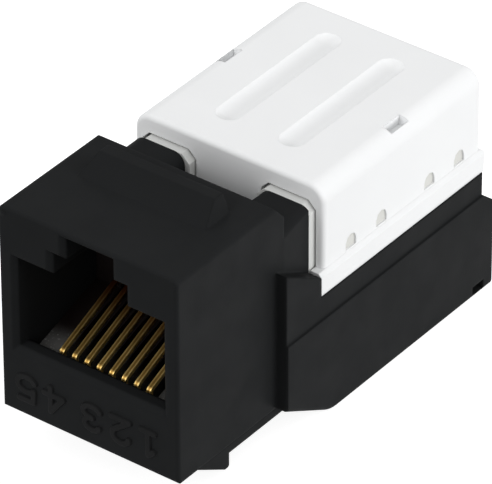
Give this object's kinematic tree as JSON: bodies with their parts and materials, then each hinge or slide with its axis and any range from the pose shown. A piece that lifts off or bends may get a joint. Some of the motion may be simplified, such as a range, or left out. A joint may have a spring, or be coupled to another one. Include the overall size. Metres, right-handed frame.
{
  "type": "keystone jack",
  "caption": "Network keystone jack with a stepped plug port, sloping spring contacts, panel catches, a deep rear housing and a white press-on wiring cap.",
  "frame": {"origin": "middle of the base of the jack's box, on the surface it stands on", "axes": "+Y from the mating face to the cable end, +Z from the base to the cap, +X across the jack"},
  "size_m": [0.0164, 0.0338, 0.0198],
  "materials": {
    "housing_black": "fine moulded satin",
    "cap_white": "moulded satin",
    "block_white": "moulded satin",
    "carrier_grey": "moulded, rough",
    "contact_gold": "gold plated",
    "clip_tin": "tin plated",
    "board_green": "lacquered board"
  },
  "bodies": {
    "jack": {"housing": "housing_black", "contact_carrier": "carrier_grey", "contact_1": "contact_gold", "contact_2": "contact_gold", "contact_3": "contact_gold", "contact_4": "contact_gold", "contact_5": "contact_gold", "contact_6": "contact_gold", "contact_7": "contact_gold", "contact_8": "contact_gold", "circuit_board": "board_green", "wire_block": "block_white", "idc_clip_1": "clip_tin", "idc_clip_2": "clip_tin", "idc_clip_3": "clip_tin", "idc_clip_4": "clip_tin", "idc_clip_5": "clip_tin", "idc_clip_6": "clip_tin", "idc_clip_7": "clip_tin", "idc_clip_8": "clip_tin"},
    "cap": {"cap": "cap_white"}
  },
  "joints": [
    {"name": "cap_lift", "type": "slide", "parent": "jack", "child": "cap", "axis": [0, 0, 1], "range_m": [0, 0.0085]}
  ]
}
